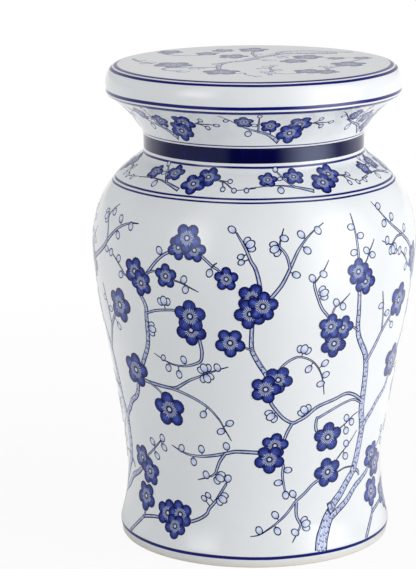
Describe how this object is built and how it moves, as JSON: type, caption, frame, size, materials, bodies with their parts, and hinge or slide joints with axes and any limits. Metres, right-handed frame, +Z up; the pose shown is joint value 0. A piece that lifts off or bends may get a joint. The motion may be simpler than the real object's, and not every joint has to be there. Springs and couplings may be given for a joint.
{
  "type": "garden stool",
  "caption": "Drum-shaped glazed ceramic garden stool with a rolled seat rim, waisted neck, full shoulder and flared foot, painted with blossom branches.",
  "frame": {"origin": "centre of the foot ring's underside, on the floor", "axes": "+Z up along the axis of revolution, out of the seat; -Y faces the viewer of the picture"},
  "size_m": [0.3048, 0.3048, 0.4509],
  "materials": {
    "white_glaze": "glossy cool white glaze with cobalt painting under it",
    "cobalt_glaze": "glossy solid cobalt blue glaze",
    "foot_bisque": "thin glaze running out to a bare cream foot",
    "luting_clay": "bare fired clay, finger smoothed"
  },
  "bodies": {
    "root": {"seat_slab": "white_glaze", "seat_rim": "white_glaze", "seat_collar": "white_glaze", "neck_ring": "cobalt_glaze", "shoulder_shell": "white_glaze", "barrel_shell": "white_glaze", "foot_ring": "foot_bisque", "seat_coil": "luting_clay", "rim_coil": "luting_clay", "collar_coil": "luting_clay", "neck_coil": "luting_clay", "belly_coil": "luting_clay", "foot_coil": "luting_clay"}
  },
  "joints": []
}
